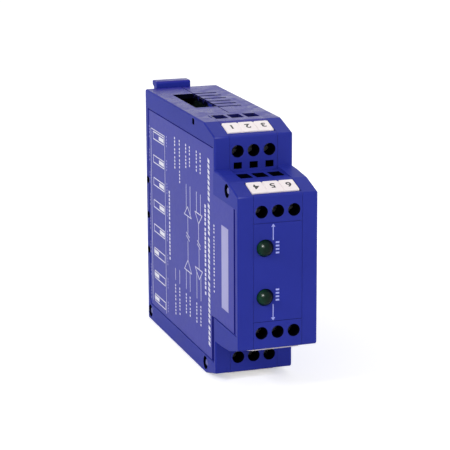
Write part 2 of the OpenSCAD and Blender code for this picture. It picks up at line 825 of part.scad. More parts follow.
// Lever of one switch, at the end of its slot that the setting calls for
module switch_lever(n) {
    on = n <= 5;
    start = on ? slot_x - slot_l / 2 + 0.1 : slot_x + slot_l / 2 - 0.1 - lever_l;
    color("ivory")
        block([start, lever_y(n) - lever_w / 2, switch_top - slot_deep + 0.05],
            [start + lever_l, lever_y(n) + lever_w / 2, switch_top - slot_deep + 0.05 + lever_h]);
}

// Parts on the board's left face: places are depth and height of the part's middle
module on_board(place) {
    translate([board_x, place.x, place.y + mid_z]) rotate([0, -90, 0]) children();
}

// Chip with bent legs along two sides; the long way runs up the board
module chip(length, width, height, legs) {
    translate([-length / 2, -width / 2, 0.2]) cube([length, width, height]);
    for (i = [0:legs - 1], side = [-1, 1])
        translate([(i - (legs - 1) / 2) * 2.54 - 0.3, side * (width / 2 + 0.5) - 0.6, 0])
            cube([0.6, 1.2, 0.5]);
}

// The converters fill the height between the middle and the switch blocks.
converter_low = 1.75;
converter_high = switch_low - 2.7;
supply_y = switch_mid + 5.2;
coupler_l = 9.6;
coupler_columns = [0.51 * tier1_depth, 0.7 * tier1_depth];
coupler_pitch = 0.496 * rear_block_low;

module power_converters() {
    color(black) upper_and_lower()
        block([board_x - 9.8, supply_y - 3.5, converter_low], [board_x, supply_y + 3.5, converter_high]);
}

module optocouplers() {
    color(black) for (depth = coupler_columns, row = [-1:1])
        on_board([-depth, row * coupler_pitch]) chip(coupler_l, 6.4, 3.6, 4);
}

module line_drivers() {
    color(black) for (h = [-1, 1])
        on_board([-0.88 * tier1_depth, h * 0.325 * rear_block_low]) chip(coupler_l, 6.4, 3.2, 4);
}

// Round cans standing on the board
module electrolytic_capacitors() {
    side = post_back.y / 3;
    color([0.12, 0.12, 0.16])
        for (place = [[post_back.x, side], [post_back.x, -side], [-tier1_depth - 6.1, 0]])
            on_board(place) cylinder(d = 6.3, h = 7.7);
}

// Glass and plastic diodes lying near the terminals they protect
module surge_diodes() {
    color(black) for (side = [-1, 1], i = [0:2])
        on_board([-tier1_depth + 16.4 - 3 * i, side * (rear_block_low - 5.2)]) translate([-2, 0, 1.35])
            rotate([0, 90, 0]) cylinder(d = 2.7, h = 4);
}

module chip_resistors() {
    color([0.15, 0.15, 0.17]) for (side = [-1, 1], i = [0:4])
        on_board([-coupler_columns[0] - 2.6 * i, side * (rear_block_low - 3)])
            translate([-1.6, -0.8, 0]) cube([3.2, 1.6, 0.6]);
}

// Drum core choke: two flanges and a wound waist
module input_choke() {
    color([0.2, 0.2, 0.2]) on_board([post_back.x - 1, 0]) rotate_extrude()
        polygon([[0, 0], [4, 0], [4, 1.2], [3.1, 1.2], [3.1, 5.4], [4, 5.4], [4, 6.6], [0, 6.6]]);
}

module voltage_regulator() {
    color(black) on_board([supply_y, 11.95 - half_h]) {
        translate([-3.3, -3.1, 0]) cube([6.6, 6.2, 2.3]);
        translate([-2.7, -5, 0]) cube([5.4, 2, 0.6]);
        for (i = [-1, 1]) translate([i * 2.29 - 0.4, 3, 0]) cube([0.8, 2, 0.6]);
    }
}

left_shell();
right_shell();
front_panel();
rear_block();  // rear_block_upper
front_block();  // front_block_upper
lower_half() front_block();  // front_block_lower
lower_half() rear_block();  // rear_block_lower
marker_strip(top_depth, half_h, slope_run, slope_fall);  // marker_rear_upper
marker_strip(ledge_depth, ledge_h, front_slope_run, front_slope_fall);  // marker_front_upper
lower_half() marker_strip(ledge_depth, ledge_h, front_slope_run, front_slope_fall);  // marker_front_lower
lower_half() marker_strip(top_depth, half_h, slope_run, slope_fall);  // marker_rear_lower
side_label();
din_latch();
latch_spring();
main_board();
clamp_bodies();
clamp_screws();
solder_pins();
status_lamp(1);  // status_lamp_upper
status_lamp(-1);  // status_lamp_lower
lamp_leads();
switch_block(1);  // switch_block_rear
switch_block(5);  // switch_block_front
switch_lever(1);  // switch_lever_1
switch_lever(2);  // switch_lever_2
switch_lever(3);  // switch_lever_3
switch_lever(4);  // switch_lever_4
switch_lever(5);  // switch_lever_5
switch_lever(6);  // switch_lever_6
switch_lever(7);  // switch_lever_7
switch_lever(8);  // switch_lever_8
power_converters();
optocouplers();
line_drivers();
electrolytic_capacitors();
surge_diodes();
chip_resistors();
input_choke();
voltage_regulator();
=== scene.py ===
# %% [markdown]
# # A slim blue isolated repeater, dressed for its photograph
#
# The real object is an electronics module in two moulded shells, with four screw terminal
# blocks, white marker tags, two lamps and a printed foil on its side. Its shapes come from a
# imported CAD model, the frame. This lesson gives each piece its finish, softens the moulded
# edges and adds the print. Places on the object are in millimetres and are turned into
# metres once. The floor and the lamps around it are in metres.

# %% Load the frame
import math

import bmesh
import bpy
from mathutils import Matrix, Vector
from mathutils.bvhtree import BVHTree


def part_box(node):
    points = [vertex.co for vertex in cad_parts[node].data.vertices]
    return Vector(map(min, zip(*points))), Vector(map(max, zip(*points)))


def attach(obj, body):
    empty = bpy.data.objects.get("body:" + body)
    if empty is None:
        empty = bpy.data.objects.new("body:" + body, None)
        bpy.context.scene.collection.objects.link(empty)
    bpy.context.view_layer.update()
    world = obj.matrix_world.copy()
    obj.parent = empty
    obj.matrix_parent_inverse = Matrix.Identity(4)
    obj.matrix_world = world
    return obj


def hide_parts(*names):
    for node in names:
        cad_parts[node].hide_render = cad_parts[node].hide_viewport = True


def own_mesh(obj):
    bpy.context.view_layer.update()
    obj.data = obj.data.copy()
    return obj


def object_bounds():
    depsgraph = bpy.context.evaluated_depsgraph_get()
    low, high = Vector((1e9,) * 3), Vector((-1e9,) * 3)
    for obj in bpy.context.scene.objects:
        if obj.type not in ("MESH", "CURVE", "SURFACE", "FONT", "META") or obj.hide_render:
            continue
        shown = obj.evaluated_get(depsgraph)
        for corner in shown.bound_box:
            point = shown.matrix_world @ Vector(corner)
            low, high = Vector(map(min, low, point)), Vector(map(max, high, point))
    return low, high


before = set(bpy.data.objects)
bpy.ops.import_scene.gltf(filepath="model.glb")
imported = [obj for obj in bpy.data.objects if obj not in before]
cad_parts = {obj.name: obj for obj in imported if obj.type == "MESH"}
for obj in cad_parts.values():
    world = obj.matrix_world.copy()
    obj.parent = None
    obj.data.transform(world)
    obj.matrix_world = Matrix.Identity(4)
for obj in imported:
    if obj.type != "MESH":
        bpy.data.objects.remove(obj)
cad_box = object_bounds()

MM = 0.001
print("CAD box in mm:", [[round(value / MM, 2) for value in corner] for corner in cad_box])

# %% [markdown]
# ## Camera
#
# The photograph was taken from the front, a little to the left and from above, with a long
# lens. The camera's place and turn were fitted once to corners of the housing whose places
# are known, so the render and the photograph have the same frame. It could be aimed with a
# Track To constraint, but a matrix built from three directions keeps the small roll too.

# %% Camera at the photograph's place
IMAGE_PX = 450
FOCAL_PX = 1867.46
SENSOR_MM = 36
CAMERA_PLACE = Vector((-182.958, -595.614, 144.559)) * MM
YAW = math.radians(-18.4344)
PITCH = math.radians(13.9288)
ROLL = math.radians(-0.2537)


def camera_turn(yaw, pitch, roll):
    """A matrix whose columns are the camera's right, its up, and backwards."""
    level = math.cos(pitch)
    look = Vector((-math.sin(yaw) * level, math.cos(yaw) * level, -math.sin(pitch)))
    level_right = Vector((math.cos(yaw), math.sin(yaw), 0))
    level_up = level_right.cross(look)
    right = math.cos(roll) * level_right + math.sin(roll) * level_up
    up = math.cos(roll) * level_up - math.sin(roll) * level_right
    return Matrix((right, up, -look)).transposed().to_4x4()


camera_data = bpy.data.cameras.new("camera")
camera_data.sensor_width = SENSOR_MM
camera_data.lens = FOCAL_PX / IMAGE_PX * SENSOR_MM
camera = bpy.data.objects.new("camera", camera_data)
camera.matrix_world = Matrix.Translation(CAMERA_PLACE) @ camera_turn(YAW, PITCH, ROLL)
bpy.context.scene.collection.objects.link(camera)
bpy.context.scene.camera = camera
print("lens in mm:", round(camera_data.lens, 1))

# %% [markdown]
# ## Nodes in few words
#
# Every finish below is a small tree of shader nodes. In the editor each node would be placed
# and wired by hand. Here short helpers do that, so a finish reads as a few lines.

# %% Helpers for shader nodes
def new_material(name):
    """A material with nodes, together with its tree and its shader."""
    material = bpy.data.materials.new(name)
    material.use_nodes = True
    return material, material.node_tree, material.node_tree.nodes["Principled BSDF"]


def set_sockets(node, **sockets):
    """Sets a node's sockets by name, with _ for each space."""
    for name, value in sockets.items():
        node.inputs[name.replace("_", " ")].default_value = value


def add_node(tree, kind, **sockets):
    """Adds a shader node, such as TexNoise, and sets its sockets."""
    new = tree.nodes.new("ShaderNode" + kind)
    set_sockets(new, **sockets)
    return new


def feed(tree, output, node, socket):
    """Joins an output to a node's socket."""
    tree.links.new(output, node.inputs[socket])


def screen(red, green, blue):
    """A colour as a screen shows it, 0 to 255, turned into the linear values of a shader."""
    linear = []
    for value in (red / 255, green / 255, blue / 255):
        linear.append(((value + 0.055) / 1.055) ** 2.4 if value > 0.04045 else value / 12.92)
    return linear + [1]


print("mid grey in linear light:", round(screen(128, 128, 128)[0], 3))

# %% [markdown]
# A pattern starts from Object coordinates. They are in metres and belong to the piece, so
# the pattern stays where it is when a joint or the camera moves. Map Range turns a texture's
# 0 to 1 into the numbers that a socket needs, a Color Ramp turns it into colours, and Bump
# turns it into relief. Each helper adds its node and returns what goes on from there.

# %% Helpers for patterns
def object_place(tree, **mapping):
    """Object coordinates, turned or stretched by a Mapping node if its sockets are given."""
    place = add_node(tree, "TexCoord").outputs["Object"]
    if mapping:
        mapping_node = add_node(tree, "Mapping", **mapping)
        feed(tree, place, mapping_node, "Vector")
        place = mapping_node.outputs["Vector"]
    return place


def noise(tree, place, **sockets):
    """The grey value of a noise texture, about 0.5 on average."""
    texture = add_node(tree, "TexNoise", **sockets)
    feed(tree, place, texture, "Vector")
    return texture.outputs["Fac"]


def ranged(tree, value, low, high, **sockets):
    """A number that goes from low to high while a value goes from 0 to 1 or from From_Min to
    From_Max."""
    map_range = add_node(tree, "MapRange", To_Min=low, To_Max=high, **sockets)
    feed(tree, value, map_range, "Value")
    return map_range.outputs["Result"]


def calculated(tree, operation, first, second):
    """What a Math node makes of two outputs."""
    math_node = add_node(tree, "Math")
    math_node.operation = operation
    feed(tree, first, math_node, 0)
    feed(tree, second, math_node, 1)
    return math_node.outputs["Value"]


def colour_between(tree, value, dark, light, start=0.0, end=1.0):
    """A colour that goes from dark to light while a value goes from start to end."""
    ramp = add_node(tree, "ValToRGB")
    ramp.color_ramp.elements[0].position = start
    ramp.color_ramp.elements[0].color = dark
    ramp.color_ramp.elements[1].position = end
    ramp.color_ramp.elements[1].color = light
    feed(tree, value, ramp, "Fac")
    return ramp.outputs["Color"]


def add_bump(tree, shader, height, strength, depth):
    """Gives a shader relief of a depth in mm, and returns the Bump node."""
    bump = add_node(tree, "Bump", Strength=strength, Distance=depth * MM)
    feed(tree, height, bump, "Height")
    feed(tree, bump.outputs["Normal"], shader, "Normal")
    return bump


print("pattern helpers are ready")

# %% [markdown]
# ## Floor, surroundings and lamps
#
# The photograph is a studio picture on white. The floor is a wide pale plane at the height
# of the bottom face. A floor lit only by lamps would come out grey, and more light would
# bleach the object, so a little glow is added for what the camera, mirrors and glass see,
# and the shadow stays in the floor's own colour.

# %% Floor
FLOOR_SIZE = 8
FLOOR_GLOW = 0.5
FLOOR_HEIGHT = cad_box[0][2]


def new_piece(name, mesh, finishes):
    """An object made of a bmesh, with its finishes in its material slots."""
    data = bpy.data.meshes.new(name)
    mesh.to_mesh(data)
    mesh.free()
    for finish in finishes:
        data.materials.append(finish)
    piece = bpy.data.objects.new(name, data)
    bpy.context.scene.collection.objects.link(piece)
    return piece


def seen_directly(tree):
    """1 for rays from the camera, from a mirror or through glass, and 0 for soft light."""
    rays = add_node(tree, "LightPath").outputs
    mirrored = calculated(tree, "MAXIMUM", rays["Is Camera Ray"], rays["Is Glossy Ray"])
    return calculated(tree, "MAXIMUM", mirrored, rays["Is Transmission Ray"])


floor_paper, floor_tree, floor_shader = new_material("floor_paper")
set_sockets(floor_shader, Base_Color=(0.82, 0.82, 0.82, 1), Roughness=0.95, Specular_IOR_Level=0,
            Emission_Color=(1, 1, 1, 1))
floor_glow = ranged(floor_tree, seen_directly(floor_tree), 0, FLOOR_GLOW)
feed(floor_tree, floor_glow, floor_shader, "Emission Strength")
floor_mesh = bmesh.new()
bmesh.ops.create_grid(floor_mesh, x_segments=1, y_segments=1, size=FLOOR_SIZE / 2)
bmesh.ops.translate(floor_mesh, vec=(0, 0, FLOOR_HEIGHT), verts=floor_mesh.verts)
floor = new_piece("floor", floor_mesh, (floor_paper,))
print("floor height in mm:", round(FLOOR_HEIGHT / MM, 2))

# %% [markdown]
# The surroundings give most of the light, evenly from everywhere. A strong lamp at the left
# and a weaker one at the right give the faces their different tones. Both are hidden from
# mirror rays. A third lamp is seen by mirror rays alone: it stands where the one glint on
# each round lamp of the panel comes from, and adds nothing to flat faces.

# %% Surroundings and lamps
SOFT_LIGHT = 0.62
LAMP_AIM = Vector((0, -0.045, 0))

world = bpy.data.worlds.new("studio")
world.use_nodes = True
bpy.context.scene.world = world
background = world.node_tree.nodes["Background"]
set_sockets(background, Color=(1, 1, 1, 1))
brightness = ranged(world.node_tree, seen_directly(world.node_tree), SOFT_LIGHT, 1)
feed(world.node_tree, brightness, background, "Strength")


def soft_lamp(name, place, size, power):
    """A square lamp that points at the middle of the object. Place and size are in metres."""
    data = bpy.data.lights.new(name, "AREA")
    data.size = size
    data.energy = power
    lamp = bpy.data.objects.new(name, data)
    lamp.location = place
    lamp.rotation_euler = (LAMP_AIM - Vector(place)).to_track_quat("-Z", "Y").to_euler()
    bpy.context.scene.collection.objects.link(lamp)
    return lamp


left_lamp = soft_lamp("left_lamp", place=(-1.08, -0.52, 0.76), size=0.3, power=8.2)
left_lamp.visible_glossy = False
right_lamp = soft_lamp("right_lamp", place=(0.9, -0.6, 0.4), size=0.4, power=3.8)
right_lamp.visible_glossy = False
glint_lamp = soft_lamp("glint_lamp", place=(-0.77, -0.78, 0.75), size=0.4, power=62)
glint_lamp.visible_diffuse = False
bpy.context.scene.view_settings.view_transform = "Standard"
print("lamps:", [lamp.name for lamp in (left_lamp, right_lamp, glint_lamp)])

# %% [markdown]
# ## Moulded plastic
#
# The shells, blocks, panel and latch are moulded in the same blue. Close up, such plastic
# has a fine grain from the etched mould, a colour that drifts very slightly, and a gloss
# that is not quite even. Noise textures give all three. Their scale counts per metre, so a
# scale of 2600 has grains of about 0.4 mm.
#
# A moulded edge has a small radius that catches the light as a thin line. The Bevel node
# gives it: it turns the normals near an edge, as if the edge were round, and the mesh stays
# as it is. A Bevel modifier would do it in real shapes, but it makes spikes where the many
# small openings meet.

# %% Material of moulded plastic
MOULD_GRAIN = 2600
GLOSS_DRIFT = (-0.04, 0.06)


def moulded_plastic(name, colour, shade, roughness, specular=0.5, ior=1.5, grain=MOULD_GRAIN,
                    relief=0.05, edge=0.0, patches=0.0):
    """Plastic with a drifting colour, an uneven gloss and a moulded grain.

    Edge is the radius in mm that its edges seem to have. Patches is by how much the
    roughness drifts over places some millimetres wide.
    """
    material, tree, shader = new_material(name)
    set_sockets(shader, Specular_IOR_Level=specular, IOR=ior)
    place = object_place(tree)
    drift = noise(tree, place, Scale=55, Detail=3, Roughness=0.55)
    tint = colour_between(tree, drift, shade, colour, start=0.3, end=0.7)
    feed(tree, tint, shader, "Base Color")
    grains = noise(tree, place, Scale=grain, Detail=2, Roughness=0.6)
    gloss = ranged(tree, grains, roughness + GLOSS_DRIFT[0], roughness + GLOSS_DRIFT[1])
    if patches:
        wear = noise(tree, place, Scale=170, Detail=4, Roughness=0.6, Distortion=1.2)
        uneven = ranged(tree, wear, -patches, patches, From_Min=0.35, From_Max=0.65)
        gloss = calculated(tree, "ADD", gloss, uneven)
    feed(tree, gloss, shader, "Roughness")
    bump = add_bump(tree, shader, grains, strength=relief, depth=0.2)
    if edge:
        rounded = add_node(tree, "Bevel", Radius=edge * MM)
        rounded.samples = 6
        feed(tree, rounded.outputs["Normal"], bump, "Normal")
    return material


print("grains in mm:", round(1 / MOULD_GRAIN / MM, 2))

# %% [markdown]
# The mould was polished differently on its faces. The front is satin, the top and bottom are
# glossier in uneven patches, and the sides and the slopes below are duller. The top and bottom
# also take a more violet blue, a painted sheen for the pale reflection they show at a flat
# angle. Faces deep in hollows get a painted shade that is almost black: a specular level of 0
# and an IOR of 1 take away the pale sheen that plastic has at a flat angle. The walls of the
# vents and of the entries in the top get a lighter painted shade that keeps some blue, and the
# tips of the tie studs are pressed smooth and shine.

# %% Plastics of this object
BLUE = screen(32, 43, 147)
BLUE_SHADE = screen(29, 40, 140)
# The top's more violet blue is a painted sheen, the pale reflection at a flat angle.
TOP_SHEEN_BLUE = screen(34, 29, 142)
TOP_SHEEN_DARK = screen(31, 26, 136)
EDGE_RADIUS = 0.08
STUD_RADIUS = 0.25
front_blue = moulded_plastic("housing_blue_front", BLUE, BLUE_SHADE, roughness=0.46,
                             specular=0.15, edge=EDGE_RADIUS)
top_painted_sheen_blue = moulded_plastic("housing_blue_top_painted_sheen", TOP_SHEEN_BLUE, TOP_SHEEN_DARK, roughness=0.33,
                           specular=0.21, edge=EDGE_RADIUS, patches=0.11)
side_blue = moulded_plastic("housing_blue_side", BLUE, BLUE_SHADE, roughness=0.48,
                            specular=0.08, edge=EDGE_RADIUS)
# Painted shade: almost black, for faces deep in hollows.
hollow_painted_shade_blue = moulded_plastic("hollow_painted_shade_blue", screen(8, 9, 28), screen(5, 6, 20), roughness=0.8,
                              specular=0, ior=1)
# Painted shade: a dark blue, for the walls of vents and entries that start at a rim.
rim_painted_shade_blue = moulded_plastic("housing_blue_rim_painted_shade", screen(20, 22, 96), screen(18, 20, 88),
                           roughness=0.7, specular=0.05)
stud_blue = moulded_plastic("housing_blue_stud", BLUE, BLUE_SHADE, roughness=0.24,
                            specular=0.6, edge=STUD_RADIUS)
tag_white = moulded_plastic("tag_white", screen(246, 236, 237), screen(240, 230, 231),
                            roughness=0.38, grain=1800, relief=0.03)
lever_grey = moulded_plastic("lever_grey", screen(74, 74, 78), screen(62, 62, 66), roughness=0.4)
switch_dark = moulded_plastic("switch_dark", screen(20, 21, 42), screen(15, 16, 34),
                              roughness=0.55, specular=0.2)
part_black = moulded_plastic("part_black", screen(24, 24, 27), screen(17, 17, 20),
                             roughness=0.5, specular=0.2, grain=3500, relief=0.12)
print("blue finishes:", [m.name for m in bpy.data.materials if "blue" in m.name])

# %% [markdown]
# ## Metal
#
# The terminal screws are steel with a bright plating, and the clamps and pins are plated
# brass. Both are smooth, with faint drawing lines. A noise that is stretched along one
# axis by a Mapping node gives such lines.

# %% Material of plated metal
LINE_STRETCH = (400, 3000, 3000)
LINE_SHADE = 0.86
LINE_GLOSS = (-0.06, 0.08)


def plated_metal(name, colour, roughness):
    """Bright metal with faint lines along one axis."""
    material, tree, shader = new_material(name)
    set_sockets(shader, Metallic=1)
    place = object_place(tree, Scale=LINE_STRETCH)
    lines = noise(tree, place, Scale=1, Detail=3, Roughness=0.5)
    shade = [value * LINE_SHADE for value in colour[:3]] + [1]
    feed(tree, colour_between(tree, lines, shade, colour), shader, "Base Color")
    gloss = ranged(tree, lines, roughness + LINE_GLOSS[0], roughness + LINE_GLOSS[1])
    feed(tree, gloss, shader, "Roughness")
    return material


screw_steel = plated_metal("screw_steel", screen(150, 150, 154), roughness=0.3)
spring_steel = plated_metal("spring_steel", screen(170, 170, 172), roughness=0.3)
clamp_brass = plated_metal("clamp_brass", screen(120, 116, 100), roughness=0.36)
print("metals:", screw_steel.name, spring_steel.name, clamp_brass.name)

# %% [markdown]
# ## Copies of the moulded pieces
#
# A CAD node comes as loose triangles with knife-sharp edges. Each outer piece is copied and
# its triangles are merged into whole faces. A face that turns a little from its neighbour is
# a facet of a round wall and is shaded smooth. All other faces stay flat.

# %% Helpers for copies
SAME_POINT = 0.002 * MM
FLAT_TURN = math.radians(0.5)
CURVE_LEAST = math.radians(2)
CURVE_MOST = math.radians(28)
FACET_AREA = 14 * MM * MM


def merged_copy(node):
    """The mesh of a CAD node with its loose triangles merged into whole faces."""
    mesh = bmesh.new()
    mesh.from_mesh(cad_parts[node].data)
    bmesh.ops.remove_doubles(mesh, verts=mesh.verts, dist=SAME_POINT)
    bmesh.ops.dissolve_limit(mesh, angle_limit=FLAT_TURN, verts=mesh.verts, edges=mesh.edges)
    for face in mesh.faces:
        turns = [edge.calc_face_angle(0) for edge in face.edges]
        curved = any(CURVE_LEAST < turn < CURVE_MOST for turn in turns)
        face.smooth = curved and face.calc_area() < FACET_AREA
        face.material_index = 0
    return mesh


def stand_in(node, mesh, finishes, body="housing"):
    """Makes a piece of a mesh, which rides on a body and stands for the CAD node."""
    piece = new_piece(node + "_moulded", mesh, finishes)
    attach(piece, body)
    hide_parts(node)
    return piece


print("facets are smooth between", round(math.degrees(CURVE_LEAST)), "and",
      round(math.degrees(CURVE_MOST)), "degrees")

# %% [markdown]
# The walls of a deep narrow hollow get almost no light in the photograph, and the tunnels
# are black from their rim on. A face counts as hollow when about half or more of the
# directions away from it end on the model close by. The directions lie on a spiral and are
# always the same, so the test gives the same faces each time. A gap as thin as a seam
# doesn't count.

# %% Faces in hollows
DIRECTIONS = 14
GOLDEN_TURN = math.pi * (3 - math.sqrt(5))
LOOK_REACH = 26 * MM
SKIN = 0.02 * MM
SEAM_WIDTH = 0.3 * MM
TRIANGLES_TESTED = 3
solid_mesh = bmesh.new()
for node_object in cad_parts.values():
    solid_mesh.from_mesh(node_object.data)
solid_tree = BVHTree.FromBMesh(solid_mesh)
solid_mesh.free()
hemisphere = []
for step in range(DIRECTIONS):
    rise = (step + 0.5) / DIRECTIONS
    flat = math.sqrt(1 - rise * rise)
    turn = step * GOLDEN_TURN
    hemisphere.append(Vector((flat * math.cos(turn), flat * math.sin(turn), rise)))


def closed_share(point, normal):
    """The share of directions away from a point that end on the model, but not in a seam."""
    turn = normal.to_track_quat("Z", "Y")
    start = point + normal * SKIN
    hits = [solid_tree.ray_cast(start, turn @ way, LOOK_REACH)[3] for way in hemisphere]
    ends = [distance for distance in hits if distance is not None and distance > SEAM_WIDTH]
    return len(ends) / DIRECTIONS


# The faces found here get a painted shade.
def hollow_faces(mesh, least_share):
    """The faces whose largest triangles are closed in by more than a share of directions."""
    triangles = {}
    for loops in mesh.calc_loop_triangles():
        corners = [loop.vert.co for loop in loops]
        area = (corners[1] - corners[0]).cross(corners[2] - corners[0]).length
        triangles.setdefault(loops[0].face, []).append((area, sum(corners, Vector()) / 3))
    found = set()
    for face, parts in triangles.items():
        largest = sorted(parts, key=lambda part: -part[0])[:TRIANGLES_TESTED]
        shares = [closed_share(centre, face.normal) for area, centre in largest]
        if sum(shares) / len(shares) > least_share:
            found.add(face)
    return found


print("directions of the hollow test:", DIRECTIONS)

# %% [markdown]
# A shell or block has all six blue finishes, and each face takes one by where it lies and
# points. In the shells a smaller share of closed directions makes a hollow, because the walls
# of the opening and the vents are thin. Faces in hollows get a painted shade. On the walls of
# the vents and entries in the top and bottom it is a dark blue, because light gets in at their
# rims, and on the walls of the wide opening and in the other hollows it is almost black.

# %% Shells and blocks
FINISHES = (front_blue, top_painted_sheen_blue, side_blue, hollow_painted_shade_blue, stud_blue, rim_painted_shade_blue)
FRONT, TOP, SIDE, HOLLOW, STUD, RIM = range(len(FINISHES))
SHELL_SHARE = 0.46
BLOCK_SHARE = 0.66
MIDDLE_HEIGHT = -1.65
TOP_HEIGHT = 39
RIM_HEIGHT = 39.8
SIDE_WIDTH = 12
OPENING_X = (-7.6, 0.4)
OPENING_Y = (-40.2, -14.2)
STUD_TIP_RANGE = (10.9, 12.2)
STUD_TIP_AREA = 4 * MM * MM
STUD_TIP_TURN = 0.2
WALL_TILT = 0.2
LEVEL = 0.95
DOWNWARD = -0.2
SIDEWAYS = 0.5


def is_stud_tip(face, centre):
    """Whether a face is small, lies just below a side and looks at least a little sideways."""
    just_below = STUD_TIP_RANGE[0] < abs(centre.x) < STUD_TIP_RANGE[1]
    turned = abs(face.normal.x) > STUD_TIP_TURN
    return just_below and turned and face.calc_area() < STUD_TIP_AREA


def is_rim_wall(face):
    """Whether a wall starts at a rim in the top or bottom face."""
    reach = max(abs(vert.co.z / MM - MIDDLE_HEIGHT) for vert in face.verts)
    return abs(face.normal.z) < WALL_TILT and reach > RIM_HEIGHT


def is_opening_wall(face, centre):
    """Whether a wall belongs to the wide opening in the top face."""
    within_x = OPENING_X[0] < centre.x < OPENING_X[1]
    within_y = OPENING_Y[0] < centre.y < OPENING_Y[1]
    return within_x and within_y and centre.z > 0 and is_rim_wall(face)


def finish_of(face, in_hollow):
    """The finish of a face in a shell or block, as its number in FINISHES."""
    centre = face.calc_center_median() / MM
    if is_stud_tip(face, centre):
        return STUD
    # Walls of the wide opening and faces in hollows get painted shade: a dark blue on rim walls,
    # almost black elsewhere.
    if is_opening_wall(face, centre):
        return HOLLOW
    if in_hollow:
        return RIM if is_rim_wall(face) else HOLLOW
    # Level faces of the top and bottom take the violet painted sheen.
    if abs(face.normal.z) > LEVEL and abs(centre.z - MIDDLE_HEIGHT) > TOP_HEIGHT:
        return TOP
    outer_side = abs(face.normal.x) > SIDEWAYS and abs(centre.x) > SIDE_WIDTH
    return SIDE if outer_side or face.normal.z < DOWNWARD else FRONT


def moulded_piece(node, least_share):
    """A stand-in for a shell or block, with a finish for each kind of face."""
    mesh = merged_copy(node)
    hollow = hollow_faces(mesh, least_share)
    for face in mesh.faces:
        face.material_index = finish_of(face, face in hollow)
    print(node, "faces:", len(mesh.faces), "in hollows:", len(hollow))
    return stand_in(node, mesh, FINISHES)


for shell in ("left_shell", "right_shell"):
    moulded_piece(shell, SHELL_SHARE)
for block in ("rear_block_upper", "front_block_upper", "front_block_lower", "rear_block_lower"):
    moulded_piece(block, BLOCK_SHARE)

# %% [markdown]
# The panel, the latch and the marker strips are simple shapes, so their edges can be rounded
# in the mesh itself with a bevel. `clamp_overlap` stops the bevel where an edge is short.

# %% Simple pieces with real round edges
SHARP = math.radians(28)
UPWARD = 0.7


def rounded_piece(node, finish, radius, body="housing", top_finish=None):
    """A stand-in with bevelled edges. Its upward faces may have a finish of their own."""
    mesh = merged_copy(node)
    sharp = [edge for edge in mesh.edges if edge.is_manifold and edge.calc_face_angle(0) > SHARP]
    made = bmesh.ops.bevel(mesh, geom=sharp, offset=radius * MM, offset_type="OFFSET",
                           segments=2, profile=0.5, affect="EDGES", clamp_overlap=True,
                           material=-1)
    for face in made["faces"]:
        face.smooth = face.calc_area() < FACET_AREA
    for face in mesh.faces:
        face.material_index = 1 if face.normal.z > UPWARD else 0
    return stand_in(node, mesh, (finish, top_finish or finish), body)


rounded_piece("front_panel", front_blue, radius=0.06)
# The latch's upward faces take the top's painted sheen.
rounded_piece("din_latch", side_blue, radius=0.2, body="latch", top_finish=top_painted_sheen_blue)
for strip in ("marker_rear_upper", "marker_front_upper", "marker_front_lower", "marker_rear_lower"):
    rounded_piece(strip, tag_white, radius=0.1)

# %% [markdown]
# ## Lamps
#
# The two lamps are 5 mm bodies of dark green cast resin. Unlit they look almost black, with
# one sharp glint and a greener cloud inside. The green is painted light: it fades from the
# left, where the light falls in, to the right.

# %% Lamp resin
LAMP_LEFT = -7
LAMP_RIGHT = -2.6
lamp_resin, resin_tree, resin = new_material("lamp_resin")
set_sockets(resin, Roughness=0.25, Specular_IOR_Level=0.09)
resin_place = object_place(resin_tree)
cloud = noise(resin_tree, resin_place, Scale=500, Detail=2)
axes = add_node(resin_tree, "SeparateXYZ")
feed(resin_tree, resin_place, axes, "Vector")
# Painted light: the cloud is greenest at the lamp's left and gone at its right.
painted_light_from_left = ranged(resin_tree, axes.outputs["X"], 0, 1, From_Min=LAMP_RIGHT * MM,
                 From_Max=LAMP_LEFT * MM)
cloud_with_painted_light = calculated(resin_tree, "MULTIPLY", painted_light_from_left, cloud)
resin_tint = colour_between(resin_tree, cloud_with_painted_light, screen(5, 8, 13), screen(20, 76, 52))
feed(resin_tree, resin_tint, resin, "Base Color")


def dress(node, finish):
    """Gives a CAD node that keeps its shape a better material."""
    node_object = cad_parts[node]
    if len(node_object.material_slots) == 0:
        node_object.data.materials.append(finish)
    for slot in node_object.material_slots:
        slot.material = finish


dress("status_lamp_upper", lamp_resin)
dress("status_lamp_lower", lamp_resin)
print("lamps dressed in", lamp_resin.name)

# %% [markdown]
# ## Screws, clamps and pins
#
# The twelve screws lie deep in their tunnels, where only a glint of a slot shows. Their
# edges are rounded a little so that the slots catch light. Clamps, pins and legs keep their
# CAD shapes.

# %% Metal pieces
rounded_piece("clamp_screws", screw_steel, radius=0.06)
for metal_part in ("clamp_bodies", "solder_pins", "lamp_leads"):
    dress(metal_part, clamp_brass)
print("metal pieces dressed in", screw_steel.name, "and", clamp_brass.name)

# %% [markdown]
# ## The latch's spring
#
# The coil spring stands in the latch's window. Its upper end rests on a shelf of the
# housing and its lower end is carried by the latch, so it gets shorter as the latch goes
# up. Riding on the latch would push it through the shelf, so it rides on the housing.

# %% Spring
spring_mesh = merged_copy("latch_spring")
for face in spring_mesh.faces:
    face.smooth = True
spring = stand_in("latch_spring", spring_mesh, (spring_steel,))
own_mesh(spring)

# %% [markdown]
# ## The circuit board and what is on it
#
# They are seen only through the opening and the vents. The board is a green lacquer over
# copper, and its tracks show as slightly lighter lines. A Brick texture with long narrow
# bricks makes a believable field of tracks from plain nodes.

